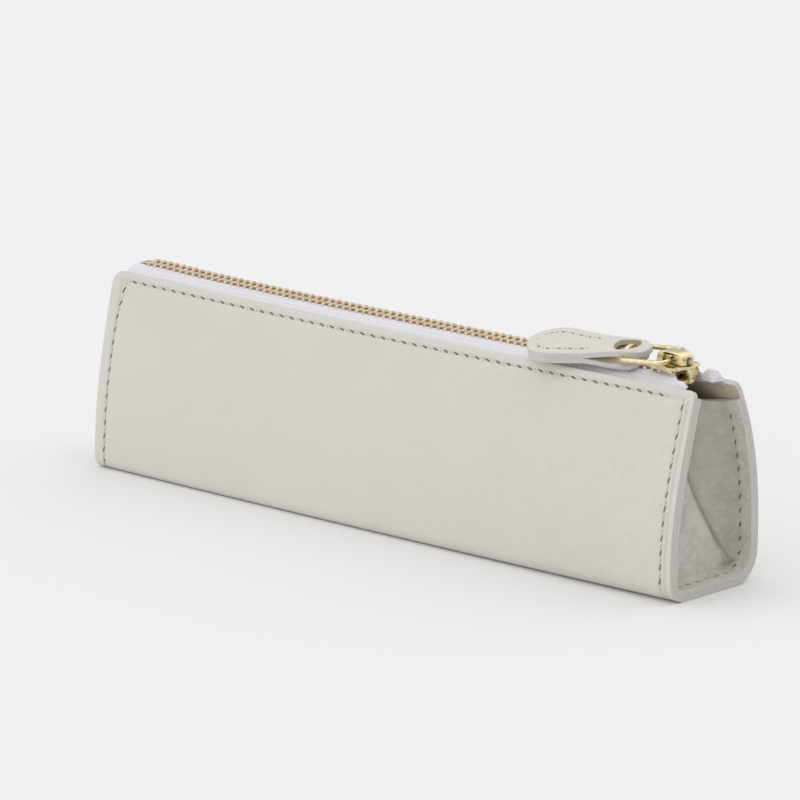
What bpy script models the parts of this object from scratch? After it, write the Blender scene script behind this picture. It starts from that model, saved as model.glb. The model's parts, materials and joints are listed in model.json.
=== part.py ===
# Leather pen case: a folded body, two creased end gussets, a metal zip along the ridge and a leather pull.
# +X runs along the case towards the closed end of the zip, -Y is the front, +Z is up.
# The origin is at the centre of the base, on the surface that the case stands on.
import math

import bmesh
import bpy
from mathutils import Euler, Matrix, Vector

mm = 0.001

# Leather body: one piece, folded round the base
case_length = 200 * mm
case_height = 51 * mm
base_width = 30.4 * mm
fold_radius = 3.5 * mm
lip_width = 13.2 * mm
side_bulge = 4.3 * mm
leather = 1.4 * mm
fit_gap = 0.3 * mm

# End gussets, sewn in flush with the ends of the body and pushed inwards
flange_length = 5.5 * mm
gusset_drop = 4.5 * mm
crease_height = 26 * mm
crease_depth = 2.5 * mm
pleat_depth = 7.5 * mm

# Zip tapes, and the teeth that are clamped along their inner edges
tape_thickness = 0.5 * mm
tape_hem = 6.5 * mm
tape_end_hem = 3.6 * mm
tape_end_cut = 4 * mm
tape_setback = 2.5 * mm
tape_shoulder = 0.5 * mm
tape_fall = 0.1 * mm
chain_rise = 2.2 * mm
tooth_pitch = 2.35 * mm
tooth_root_width = 0.9 * mm
tooth_tip_width = 0.75 * mm
tooth_reach = 0.8 * mm
tooth_height = 1.9 * mm
mesh_gap = 0.4 * mm
row_width = 1.0 * mm
chain_start_setback = 5 * mm
stop_length = 2.0 * mm
stop_grip = 0.6 * mm
stop_wall = 0.35 * mm

# Slider, closed at the +X end
slider_setback = 6.5 * mm
slider_length = 12 * mm
slider_rear_width = 7.2 * mm
slider_nose_width = 10.6 * mm
nose_length = 2.5 * mm
nose_shoulder_length = 1.5 * mm
nose_shoulder_inset = 0.6 * mm
nose_end_inset = 2.2 * mm
flare_length = 6.5 * mm
plate_thickness = 0.8 * mm
slider_flange = 0.7 * mm
diamond_setback = 0.25 * mm
diamond_length = 3.2 * mm
diamond_point_length = 1.45 * mm
diamond_width = 2.0 * mm
diamond_end_width = 1.6 * mm
row_spread = 2.1 * mm
end_spread = 1.2 * mm
lip_share = 0.8

# Crown over the slider, with the lock spring under it
crown_length = 9.3 * mm
crown_width = 4.4 * mm
crown_height = 3.5 * mm
crown_roof = 0.6 * mm
crown_foot = 2.1 * mm
crown_setback = 0.7 * mm
crown_nose_radius = 1.4 * mm
crown_tail_radius = 2.2 * mm
spring_width = 1.6 * mm
spring_thickness = 0.25 * mm

# Wire ring and leather tab of the pull, leaning to the front as they lie on the chain
wire = 1.3 * mm
ring_length = 12.2 * mm
ring_inner_width = 9.8 * mm
ring_corner = 1.6 * mm
pivot_rise = 1.9 * mm
pivot_setback = 4.3 * mm
pull_lean = math.radians(12)
pull_pitch = math.radians(2.8)
pull_yaw = math.radians(8)
tab_leather = 1.4 * mm
tab_bulb_radius = 7.2 * mm
tab_neck_radius = 4.4 * mm
tab_reach = 22.4 * mm
tab_end = 0.6 * mm
tab_hole_radius = 3.3 * mm

# Threads
thread = 0.5 * mm
thread_gap = 0.1 * mm
seam_margin = 3.4 * mm
lip_seam_drop = 2.2 * mm
tab_seam_inset = 2.4 * mm
tab_seam_length = 21 * mm

# Faces this close are welded, and a cutter reaches this far past what it cuts
weld = 0.001 * mm
overshoot = 1 * mm

# Derived places
half_length = case_length / 2
base_half = base_width / 2
lip_half = lip_width / 2
chain_z = case_height + chain_rise
gusset_top = case_height - gusset_drop
slider_nose = half_length - slider_setback
slider_tail = slider_nose - slider_length
full_spread_x = slider_nose - nose_length
spread_x = full_spread_x - flare_length
plate_under = chain_z + tooth_height / 2 + fit_gap
plate_top = plate_under + plate_thickness
floor_top = chain_z - tooth_height / 2 - fit_gap
floor_under = floor_top - plate_thickness
row_inner = tooth_reach + mesh_gap
row_outer = row_inner + row_width
stop_half_height = tape_thickness / 2 + fit_gap + stop_wall
crown_tail = slider_tail + crown_setback
crown_nose = crown_tail + crown_length
ring_pivot = Vector((crown_tail + pivot_setback, 0, plate_top + pivot_rise))


def ramp(value, start, end):
    return min(max((value - start) / (end - start), 0), 1)


def spread(x):
    # How far each row of teeth stands off its meshed place, where the slider parts them
    opened = row_spread * ramp(x, spread_x, full_spread_x)
    return opened - (row_spread - end_spread) * ramp(x, slider_nose, half_length)


def profile(x, offset=0.0, top=None, arc_steps=4, side_steps=9):
    # Half section of the body at x, from the middle of the base to the lip, offset inwards
    lip = lip_half + lip_share * spread(x)
    start = Vector((base_half, fold_radius))
    end = Vector((lip, case_height))
    out = Vector((side_bulge, 0))
    handles = (start, start.lerp(end, 1 / 3) + out, start.lerp(end, 2 / 3) + out, end)

    def side(t):
        a, b, c, d = handles
        point = a * (1 - t) ** 3 + b * 3 * t * (1 - t) ** 2 + c * 3 * t * t * (1 - t) + d * t ** 3
        slope = (b - a) * (1 - t) ** 2 + (c - b) * 2 * t * (1 - t) + (d - c) * t * t
        slope.normalize()
        return point + Vector((-slope.y, slope.x)) * offset

    low, high = 0.0, 1.0
    if top is not None:
        for _ in range(30):
            middle = (low + high) / 2
            if side(middle).y < top:
                low = middle
            else:
                high = middle
    centre = Vector((base_half - fold_radius, fold_radius))
    radius = fold_radius - offset
    points = [Vector((0, offset)), Vector((centre.x / 2, offset))]
    for step in range(arc_steps):
        angle = math.pi / 2 * step / arc_steps
        points.append(centre + Vector((math.sin(angle), -math.cos(angle))) * radius)
    for step in range(side_steps + 1):
        points.append(side(high * step / side_steps))
    return points


def section(x, offset=0.0, top=None):
    # Whole section as a U, from the front lip under the base to the back lip
    half = profile(x, offset, top)
    back = [Vector((x, p.x, p.y)) for p in half]
    front = [Vector((x, -p.x, p.y)) for p in reversed(half[1:])]
    return front + back


def stations():
    # Where the body is sectioned: evenly, and where the spread of the lips changes
    knots = [spread_x, full_spread_x, slider_nose]
    even = [-half_length + seam_margin + (case_length - 2 * seam_margin) * i / 8 for i in range(9)]
    clear = [x for x in even if min(abs(x - knot) for knot in knots) > 2 * mm]
    return sorted([-half_length, half_length] + clear + knots)


def material(name, colour, roughness, metallic=0.0):
    made = bpy.data.materials.new(name)
    made.use_nodes = True
    shader = made.node_tree.nodes["Principled BSDF"]
    shader.inputs["Base Color"].default_value = (*colour, 1)
    shader.inputs["Roughness"].default_value = roughness
    shader.inputs["Metallic"].default_value = metallic
    return made


def collection(name):
    made = bpy.data.collections.new(name)
    bpy.context.scene.collection.children.link(made)
    return made


def add_object(name, data, look, parent=None):
    made = bpy.data.objects.new(name, data)
    case_parts.objects.link(made)
    made.parent = parent
    if look is not None:
        data.materials.append(look)
    return made


def add_pivot(name, place, parent=None):
    made = bpy.data.objects.new(name, None)
    case_parts.objects.link(made)
    made.parent = parent
    made.location = place
    return made


def sheet(name, rows, look, thickness, side=-1.0):
    # An open grid of points, made a sheet of even thickness on one side of them
    mesh = bpy.data.meshes.new(name)
    bm = bmesh.new()
    grid = [[bm.verts.new(point) for point in row] for row in rows]
    for near, far in zip(grid, grid[1:]):
        for i in range(len(near) - 1):
            bm.faces.new((near[i], near[i + 1], far[i + 1], far[i]))
    bmesh.ops.remove_doubles(bm, verts=bm.verts, dist=weld)
    bm.to_mesh(mesh)
    bm.free()
    made = add_object(name, mesh, look)
    solidify = made.modifiers.new("Thickness", "SOLIDIFY")
    solidify.thickness = thickness
    solidify.offset = side
    solidify.use_even_offset = True
    return made


def plate(name, outline, depth, look, holes=(), parent=None):
    # A flat outline in its own XY plane, extruded evenly about that plane
    curve = bpy.data.curves.new(name, "CURVE")
    curve.dimensions = "2D"
    curve.fill_mode = "BOTH"
    curve.extrude = depth / 2
    for loop in (outline, *holes):
        spline = curve.splines.new("POLY")
        spline.points.add(len(loop) - 1)
        for point, (x, y) in zip(spline.points, loop):
            point.co = (x, y, 0, 1)
        spline.use_cyclic_u = True
    return add_object(name, curve, look, parent)


def tube(name, points, width, look, closed=False, parent=None):
    curve = bpy.data.curves.new(name, "CURVE")
    curve.dimensions = "3D"
    curve.bevel_depth = width / 2
    curve.bevel_resolution = 2
    curve.use_fill_caps = not closed
    spline = curve.splines.new("POLY")
    spline.points.add(len(points) - 1)
    for point, place in zip(spline.points, points):
        point.co = (*place, 1)
    spline.use_cyclic_u = closed
    return add_object(name, curve, look, parent)


def to_mesh(curve_object):
    # A curve becomes a welded mesh, so that it can be cut and joined
    bpy.context.view_layer.update()
    graph = bpy.context.evaluated_depsgraph_get()
    mesh = bpy.data.meshes.new_from_object(curve_object.evaluated_get(graph))
    bm = bmesh.new()
    bm.from_mesh(mesh)
    bmesh.ops.remove_doubles(bm, verts=bm.verts, dist=weld)
    bm.to_mesh(mesh)
    bm.free()
    name = curve_object.name
    look = curve_object.active_material
    place = curve_object.matrix_world.copy()
    bpy.data.objects.remove(curve_object)
    made = add_object(name, mesh, None if mesh.materials else look)
    made.matrix_world = place
    return made


def box(name, corner, opposite, look=None):
    low = Vector(map(min, corner, opposite))
    high = Vector(map(max, corner, opposite))
    mesh = bpy.data.meshes.new(name)
    bm = bmesh.new()
    size = Matrix.Diagonal((*(high - low), 1))
    bmesh.ops.create_cube(bm, size=1, matrix=Matrix.Translation((low + high) / 2) @ size)
    bm.to_mesh(mesh)
    bm.free()
    return add_object(name, mesh, look)


def combine(target, tool, operation):
    # The tool becomes a hidden cutter that the target's modifier keeps using
    case_parts.objects.unlink(tool)
    cutters.objects.link(tool)
    tool.hide_render = True
    tool.display_type = "WIRE"
    boolean = target.modifiers.new(operation.title(), "BOOLEAN")
    boolean.operation = operation
    boolean.solver = "EXACT"
    boolean.object = tool


def arc(centre, radius, start, end, steps):
    angles = [math.radians(start + (end - start) * i / steps) for i in range(steps + 1)]
    return [(centre[0] + radius * math.cos(a), centre[1] + radius * math.sin(a)) for a in angles]


def build_body():
    rows = [section(x) for x in stations()]
    return sheet("body_wrap", rows, ivory_leather, leather)


def build_gusset(name, end):
    # A flange round the U of the body, and a face that folds in along a Y of creases
    offset = leather + fit_gap
    inner_x = end * (half_length - flange_length)
    rim = section(end * half_length, offset, gusset_top)
    seat = section(inner_x, offset, gusset_top)
    low = Vector((inner_x - end * crease_depth, 0, crease_height))
    high = Vector((inner_x - end * pleat_depth, 0, gusset_top))
    rows = [rim, seat]
    for share in (1 / 3, 2 / 3, 1):
        rows.append([p.lerp(low.lerp(high, ramp(p.z, fold_radius, gusset_top)), share) for p in seat])
    if end > 0:
        rows = [list(reversed(row)) for row in rows]
    return sheet(name, rows, ivory_leather, leather)


def build_tape(name, side):
    # Up the inside of the lip, over a shoulder and level to the teeth
    tape_half = half_length - tape_setback
    short_end = half_length - flange_length - fit_gap
    full_end = short_end - tape_end_cut
    xs = [-tape_half, -short_end, -full_end, -half_length / 2, 0, half_length / 2, spread_x]
    xs += [full_end, full_spread_x, short_end, tape_half]
    rows = []
    for x in sorted(xs):
        hem = tape_end_hem + (tape_hem - tape_end_hem) * ramp(abs(x), short_end, full_end)
        before, top = profile(x, leather + fit_gap + tape_thickness / 2)[-2:]
        slope = (top - before).normalized()
        down = top - slope * (hem / slope.y)
        edge = row_outer + spread(x) + fit_gap
        shoulder = max(top.x - tape_shoulder, edge + fit_gap)
        points = [(down.x, down.y), (top.x, top.y), (shoulder, chain_z - tape_fall), (edge, chain_z)]
        rows.append([Vector((x, side * y, z)) for y, z in points])
    return sheet(name, rows, white_tape, tape_thickness, 0.0)


def build_teeth(name, side):
    # One row: a strip clamped on the tape's edge, with teeth towards the middle of the chain
    start = -half_length + chain_start_setback
    first = start + (0.5 if side > 0 else 1.0) * tooth_pitch
    count = int((slider_nose - tooth_root_width - first) / tooth_pitch) + 1
    root = tooth_root_width / 2
    tip = tooth_tip_width / 2
    path = [(start, row_outer), (spread_x, row_outer), (full_spread_x, row_outer)]
    path += [(slider_nose, row_outer), (slider_nose, row_inner)]
    for i in reversed(range(count)):
        x = first + i * tooth_pitch
        path += [(x + root, row_inner), (x + tip, -tooth_reach)]
        path += [(x - tip, -tooth_reach), (x - root, row_inner)]
    path.append((start, row_inner))
    outline = [(x, side * (y + spread(x))) for x, y in path]
    made = plate(name, outline, tooth_height, brass)
    made.location.z = chain_z
    return made


def build_top_stop(name, side):
    # A clip over the tape's edge, just past the slider's nose
    x = slider_nose + fit_gap
    y = row_outer + spread(slider_nose)
    made = box(name, (x, side * (y - row_width), chain_z - stop_half_height),
               (x + stop_length, side * (y + stop_grip), chain_z + stop_half_height), brass)
    slot_half = stop_half_height - stop_wall
    slot = box(name + "_slot", (x - overshoot, side * y, chain_z - slot_half),
               (x + stop_length + overshoot, side * (y + stop_grip + overshoot), chain_z + slot_half))
    combine(made, slot, "DIFFERENCE")
    return made


def build_bottom_stop():
    # A clip across both tapes, at the start of the chain
    end = -half_length + chain_start_setback - fit_gap
    reach = row_outer + stop_grip
    made = box("bottom_stop", (end - stop_length, -reach, chain_z - stop_half_height),
               (end, reach, chain_z + stop_half_height), brass)
    slot_half = stop_half_height - stop_wall
    for side in (-1, 1):
        slot = box("bottom_stop_slot", (end - stop_length - overshoot, side * row_outer, chain_z - slot_half),
                   (end + overshoot, side * (reach + overshoot), chain_z + slot_half))
        combine(made, slot, "DIFFERENCE")
    return made


def slider_outline():
    rear = slider_rear_width / 2
    nose = slider_nose_width / 2
    side = [(slider_tail, rear), (spread_x, rear), (full_spread_x, nose)]
    side += [(full_spread_x + nose_shoulder_length, nose - nose_shoulder_inset)]
    side += [(slider_nose, nose - nose_end_inset)]
    return side + [(x, -y) for x, y in reversed(side)]


def channel_outline():
    # The way of the teeth through the slider, open at its tail and nose
    rear = slider_rear_width / 2 - slider_flange
    nose = slider_nose_width / 2 - slider_flange
    side = [(slider_tail - overshoot, rear), (spread_x, rear)]
    side += [(full_spread_x, nose), (slider_nose + overshoot, nose)]
    return side + [(x, -y) for x, y in reversed(side)]


def build_slider_body():
    middle_z = (plate_top + floor_under) / 2
    made = plate("slider_body", slider_outline(), plate_top - floor_under, gold)
    made.location.z = middle_z
    made = to_mesh(made)
    channel = plate("slider_channel", channel_outline(), plate_under - floor_top, None)
    channel.location.z = (plate_under + floor_top) / 2
    combine(made, to_mesh(channel), "DIFFERENCE")
    lip = tape_thickness / 2 + fit_gap
    tape_slot = box("slider_tape_slot", (slider_tail - overshoot, -slider_nose_width, chain_z - lip),
                    (slider_nose + overshoot, slider_nose_width, chain_z + lip))
    combine(made, tape_slot, "DIFFERENCE")
    slot_x = crown_tail + crown_foot + fit_gap
    slot_half = spring_width / 2 + fit_gap
    pawl_slot = box("slider_pawl_slot", (slot_x, -slot_half, chain_z),
                    (slot_x + spring_thickness + 2 * fit_gap, slot_half, plate_top + overshoot))
    combine(made, pawl_slot, "DIFFERENCE")
    tip = slider_nose - diamond_setback
    back = tip - diamond_length
    widest = back + diamond_point_length
    outline = [(back, 0), (widest, diamond_width / 2), (tip, diamond_end_width / 2)]
    outline += [(tip, -diamond_end_width / 2), (widest, -diamond_width / 2)]
    diamond = plate("slider_diamond", outline, plate_under - floor_top + plate_thickness, None)
    diamond.location.z = middle_z
    combine(made, to_mesh(diamond), "UNION")
    return made


def build_crown():
    # An arch from tail to nose, seen from the front, extruded across the slider
    nose = crown_nose_radius
    tail = crown_tail_radius
    outline = [(0, 0), (crown_length, 0)]
    outline += arc((crown_length - nose, crown_height - nose), nose, 0, 90, 4)
    outline += arc((tail, crown_height - tail), tail, 90, 180, 4)
    made = plate("slider_crown", outline, crown_width, gold)
    made.rotation_euler = (math.pi / 2, 0, 0)
    made.location = (crown_tail, 0, plate_top + fit_gap)
    made = to_mesh(made)
    roof = plate_top + fit_gap + crown_height - crown_roof
    arch = box("crown_arch", (crown_tail + crown_foot, -crown_width, plate_top - overshoot),
               (crown_nose - crown_foot, crown_width, roof))
    combine(made, arch, "DIFFERENCE")
    return made


def build_lock_spring():
    # A leaf over the top plate, whose pawl dips through the plate towards the teeth
    start = crown_tail + crown_foot + 2 * fit_gap
    end = crown_nose - crown_foot - fit_gap
    low = plate_under
    bed = plate_top + fit_gap
    lift = bed + spring_thickness
    outline = [(start, low), (start + spring_thickness, low), (start + spring_thickness, bed)]
    outline += [(end, bed), (end, lift), (start, lift)]
    made = plate("slider_lock_spring", outline, spring_width, steel)
    made.rotation_euler = (math.pi / 2, 0, 0)
    return made


def build_pull_ring(pivot):
    half = (ring_inner_width + wire) / 2
    r = ring_corner
    path = arc((-r, half - r), r, 0, 90, 4) + arc((-ring_length + r, half - r), r, 90, 180, 4)
    path += arc((-ring_length + r, -half + r), r, 180, 270, 4) + arc((-r, -half + r), r, 270, 360, 4)
    points = [(x, y, 0) for x, y in path]
    return tube("pull_ring", points, wire, gold, closed=True, parent=pivot)


def tab_outline(inset=0.0):
    # A drop: a round bulb away from the ring, and sides that ease in to a round neck
    bulb = tab_bulb_radius - inset
    neck = tab_neck_radius - inset
    side = arc((tab_end, 0), neck, 0, 90, 6)
    bulb_arc = arc((-tab_reach, 0), bulb, 75, 180, 7)
    bulb_x, bulb_y = bulb_arc[0]
    for step in range(1, 5):
        share = step / 5
        side.append((tab_end + (bulb_x - tab_end) * share, neck + (bulb_y - neck) * share ** 2))
    side += bulb_arc
    return side + [(x, -y) for x, y in reversed(side[1:-1])]


def build_tab_layer(name, pivot, side, holes=()):
    made = plate(name, tab_outline(), tab_leather, ivory_leather, holes, parent=pivot)
    made.location.z = side * (tab_leather + fit_gap) / 2
    made = to_mesh(made)
    reach = tab_neck_radius + tab_bulb_radius
    bore = tube(name + "_bore", [(0, -reach, 0), (0, reach, 0)], wire + 2 * fit_gap, None, parent=pivot)
    combine(made, to_mesh(bore), "DIFFERENCE")
    return made


def build_tab_thread(pivot):
    z = fit_gap / 2 + tab_leather + thread_gap + thread / 2
    start = -tab_reach - tab_bulb_radius + tab_seam_length
    points = [(x, y, z) for x, y in tab_outline(tab_seam_inset) if x < start]
    return tube("pull_tab_thread", points, thread, linen, parent=pivot)


def build_lip_seam(name, side):
    stand_off = -(thread_gap + thread / 2)
    points = []
    for x in stations():
        if half_length - abs(x) > seam_margin - weld:
            edge = profile(x, stand_off, case_height - lip_seam_drop)[-1]
            points.append((x, side * edge.x, edge.y))
    return tube(name, points, thread, linen)


def build_end_seam(name, end):
    # The inner thread of the end seam, round the inside of the gusset's flange
    x = end * (half_length - seam_margin)
    offset = 2 * leather + fit_gap + thread_gap + thread / 2
    top = gusset_top - lip_seam_drop
    return tube(name, [tuple(p) for p in section(x, offset, top)], thread, linen)


for old in list(bpy.data.objects):
    bpy.data.objects.remove(old)

case_parts = collection("leather_pen_case")
cutters = collection("cutters")
ivory_leather = material("ivory_leather", (0.63, 0.61, 0.56), 0.55)
white_tape = material("white_tape", (0.72, 0.71, 0.76), 0.8)
brass = material("brass", (0.62, 0.47, 0.28), 0.35, 1.0)
gold = material("gold_plate", (0.80, 0.62, 0.28), 0.25, 1.0)
steel = material("spring_steel", (0.55, 0.55, 0.55), 0.4, 1.0)
linen = material("linen_thread", (0.45, 0.42, 0.38), 0.8)

build_body()
build_gusset("right_gusset", 1)
build_gusset("left_gusset", -1)
build_tape("front_zip_tape", -1)
build_tape("back_zip_tape", 1)
build_teeth("front_zip_teeth", -1)
build_teeth("back_zip_teeth", 1)
build_top_stop("front_top_stop", -1)
build_top_stop("back_top_stop", 1)
build_bottom_stop()
build_slider_body()
build_crown()
build_lock_spring()

pull_pivot = add_pivot("pull_pivot", ring_pivot)
pull_pivot.rotation_euler = Euler((pull_lean, -pull_pitch, pull_yaw))
tab_pivot = add_pivot("tab_pivot", (-ring_length, 0, 0), pull_pivot)
bpy.context.view_layer.update()

tab_hole = arc((0, 0), tab_hole_radius, 0, 345, 23)
build_pull_ring(pull_pivot)
build_tab_layer("pull_tab_top", tab_pivot, 1, (tab_hole,))
build_tab_layer("pull_tab_bottom", tab_pivot, -1)
build_tab_thread(tab_pivot)

build_lip_seam("front_lip_seam", -1)
build_lip_seam("back_lip_seam", 1)
build_end_seam("right_end_seam", 1)
build_end_seam("left_end_seam", -1)

bpy.context.view_layer.update()
for pivot in (pull_pivot, tab_pivot):
    place = pivot.matrix_world
    print(pivot.name, [round(v, 5) for v in place.translation], [round(v, 5) for v in place.col[1][:3]])
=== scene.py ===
import json
import math

import bpy
from mathutils import Euler, Matrix, Vector, noise


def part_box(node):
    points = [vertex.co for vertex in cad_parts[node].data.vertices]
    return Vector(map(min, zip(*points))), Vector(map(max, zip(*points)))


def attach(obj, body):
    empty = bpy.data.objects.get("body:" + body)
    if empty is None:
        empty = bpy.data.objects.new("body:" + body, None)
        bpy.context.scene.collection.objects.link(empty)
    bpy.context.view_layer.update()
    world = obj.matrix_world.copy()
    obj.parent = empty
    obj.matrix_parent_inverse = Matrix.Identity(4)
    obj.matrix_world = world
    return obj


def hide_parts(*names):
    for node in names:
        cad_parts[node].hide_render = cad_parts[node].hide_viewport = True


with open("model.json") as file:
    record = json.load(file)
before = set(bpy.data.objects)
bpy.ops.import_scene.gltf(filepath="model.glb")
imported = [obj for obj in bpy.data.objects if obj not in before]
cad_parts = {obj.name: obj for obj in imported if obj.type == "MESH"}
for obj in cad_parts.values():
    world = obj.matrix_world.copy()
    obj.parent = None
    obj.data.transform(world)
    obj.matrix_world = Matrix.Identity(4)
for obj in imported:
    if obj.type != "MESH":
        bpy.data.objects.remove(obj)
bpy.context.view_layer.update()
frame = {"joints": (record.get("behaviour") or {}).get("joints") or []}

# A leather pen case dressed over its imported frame
# +X runs to the closed end of the zip, -Y is the front, and lengths are in metres
mm = 0.001
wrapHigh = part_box("body_wrap")[1]
halfLength = wrapHigh.x
lipHeight = wrapHigh.z
mergeDistance = 0.005 * mm


def inMm(**values):
    # Sizes in millimetres: single numbers, rows of them, or one for each side
    def scaled(value):
        if isinstance(value, tuple):
            return tuple(scaled(part) for part in value)
        if isinstance(value, dict):
            return {key: scaled(part) for key, part in value.items()}
        return value * mm

    return {key: scaled(value) for key, value in values.items()}


# Working by hand in Blender: selection, modifiers, sheets and slabs

def deselectAll():
    if bpy.context.object and bpy.context.object.mode != "OBJECT":
        bpy.ops.object.mode_set(mode="OBJECT")
    bpy.ops.object.select_all(action="DESELECT")


def pick(obj):
    deselectAll()
    obj.select_set(True)
    bpy.context.view_layer.objects.active = obj


def addShape(operator, **settings):
    deselectAll()
    operator(**settings)
    return bpy.context.object


def applyModifiers(obj):
    pick(obj)
    for modifier in list(obj.modifiers):
        bpy.ops.object.modifier_apply(modifier=modifier.name)


def wear(obj, looks):
    for look in looks:
        obj.data.materials.append(look)


def paintShade(sheet, paint):
    # Painted shade from 0 to 1, deepest in folds and seams and a little on faces turned from the light,
    # which darkens the leather there
    fold = sheet.data.attributes.new("fold", "FLOAT", "POINT")
    for vertex in sheet.data.vertices:
        fold.data[vertex.index].value = paint(vertex.co)


def addSheet(name, across, down, shape, looks):
    # A flat grid is laid on the surface that shape(u, v) describes
    sheet = addShape(bpy.ops.mesh.primitive_grid_add, x_subdivisions=across, y_subdivisions=down, size=1)
    sheet.name = name
    for vertex in sheet.data.vertices:
        vertex.co = shape(vertex.co.x + 0.5, vertex.co.y + 0.5)
    wear(sheet, looks)
    return sheet


def editWhole(obj, *steps):
    # Each operator in turn works on the whole mesh
    pick(obj)
    bpy.ops.object.mode_set(mode="EDIT")
    for operator, settings in steps:
        bpy.ops.mesh.select_all(action="SELECT")
        operator(**settings)
    bpy.ops.object.mode_set(mode="OBJECT")


def mergeDoubles(obj):
    editWhole(obj, (bpy.ops.mesh.remove_doubles, {"threshold": mergeDistance}))


def turnFacesOut(obj):
    editWhole(obj, (bpy.ops.mesh.normals_make_consistent, {"inside": False}))


def flipFaces(obj):
    editWhole(obj, (bpy.ops.mesh.flip_normals, {}))


def settle(obj, place=None):
    # The object goes to the origin, and its place into its mesh
    if place is not None:
        obj.matrix_world = place
    pick(obj)
    bpy.ops.object.transform_apply(location=True, rotation=True, scale=True)


def thicken(obj, thickness, insideSlot=0, rimSlot=0, even=True):
    solid = obj.modifiers.new("Thickness", "SOLIDIFY")
    solid.thickness = thickness
    solid.offset = -1
    solid.use_even_offset = even
    solid.material_offset = insideSlot
    solid.material_offset_rim = rimSlot
    applyModifiers(obj)


def softenEdges(obj, width, segments=2, angle=50, slot=-1):
    bevel = obj.modifiers.new("Soft edges", "BEVEL")
    bevel.material = slot
    bevel.width = width
    bevel.segments = segments
    bevel.limit_method = "ANGLE"
    bevel.angle_limit = math.radians(angle)
    applyModifiers(obj)


def addSlab(name, outline, low, high, looks):
    # An outline is drawn as one face and extruded from low to high
    slab = addShape(bpy.ops.mesh.primitive_circle_add, vertices=len(outline), fill_type="NGON")
    slab.name = name
    for vertex, (x, y) in zip(slab.data.vertices, outline):
        vertex.co = (x, y, low)
    raised = {"TRANSFORM_OT_translate": {"value": (0, 0, high - low)}}
    editWhole(slab, (bpy.ops.mesh.extrude_region_move, raised))
    turnFacesOut(slab)
    wear(slab, looks)
    return slab


def joinAll(name, objs):
    deselectAll()
    for obj in objs:
        obj.select_set(True)
    bpy.context.view_layer.objects.active = objs[0]
    if len(objs) > 1:
        bpy.ops.object.join()
    joined = bpy.context.object
    joined.name = name
    return joined


def layCopies(model, places, name):
    # Each copy has its own mesh, and the row of copies is joined into one piece
    copies = []
    for place in places:
        copy = model.copy()
        copy.data = model.data.copy()
        copy.data.transform(place)
        bpy.context.scene.collection.objects.link(copy)
        copies.append(copy)
    bpy.data.objects.remove(model)
    return joinAll(name, copies)


def finishPiece(obj, body, slot, *nodes, angle=40):
    settle(obj)
    bpy.ops.object.shade_smooth_by_angle(angle=math.radians(angle))
    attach(obj, body)
    if nodes:
        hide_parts(*nodes)


def placeMatrix(origin, run, up):
    # X along the run, Z up from the surface, Y across
    run = run.normalized()
    across = up.cross(run).normalized()
    up = run.cross(across)
    turn = Matrix((run, across, up)).transposed().to_4x4()
    return Matrix.Translation(origin) @ turn


def clamp(value, low=0.0, high=1.0):
    return min(max(value, low), high)


def smooth(value, low, high):
    share = clamp((value - low) / (high - low))
    return share * share * (3 - 2 * share)


def bell(distance, width):
    # 1 at no distance, and near 0 past twice the width
    return math.exp(-(distance / width) ** 2)


def crowd(t, edge, share):
    # Spreads points over 0 to 1, with this share of them within edge of each end
    if t < share:
        return edge * t / share
    if t > 1 - share:
        return 1 - edge * (1 - t) / share
    return edge + (1 - 2 * edge) * (t - share) / (1 - 2 * share)


def spaced(low, high, steps):
    return [low + (high - low) * i / steps for i in range(steps + 1)]


def arc(centre, radius, start, end, steps):
    angles = [math.radians(angle) for angle in spaced(start, end, steps)]
    return [(centre[0] + radius * math.cos(a), centre[1] + radius * math.sin(a)) for a in angles]


def leg(long, short):
    # The other side of a triangle with a right angle, or 0 past its corner
    return math.sqrt(max(long ** 2 - short ** 2, 0))


# Materials: a class for shader numbers, one that adds nodes, and one for a whole material

class Wire:
    def __init__(self, shader, socket):
        self.shader = shader
        self.socket = socket

    def math(self, operation, *others):
        return self.shader.node("Math", {"operation": operation}, dict(enumerate((self, *others))))

    def __add__(self, other):
        return self.math("ADD", other)

    def __sub__(self, other):
        return self.math("SUBTRACT", other)

    def __mul__(self, other):
        return self.math("MULTIPLY", other)

    def __rsub__(self, other):
        return self * -1 + other

    __radd__ = __add__
    __rmul__ = __mul__

    def between(self, low, high):
        # 0 below low, 1 above high, eased in the middle
        return self.shader.node("MapRange", {"interpolation_type": "SMOOTHSTEP"},
                                {"Value": self, "From Min": low, "From Max": high})


class Nodes:
    def __init__(self, tree, coordinates):
        self.tree = tree
        self.place = self.node("TexCoord", out=coordinates)

    def feed(self, socket, value):
        if isinstance(value, Wire):
            self.tree.links.new(value.socket, socket)
        else:
            socket.default_value = value

    def node(self, kind, settings=None, sockets=None, out=0):
        made = self.tree.nodes.new("ShaderNode" + kind)
        for key, value in (settings or {}).items():
            setattr(made, key, value)
        for key, value in (sockets or {}).items():
            self.feed(made.inputs[key], value)
        return Wire(self, made.outputs[out])

    def vector(self, operation, *values, out=0):
        return self.node("VectorMath", {"operation": operation}, dict(enumerate(values)), out)


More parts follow.
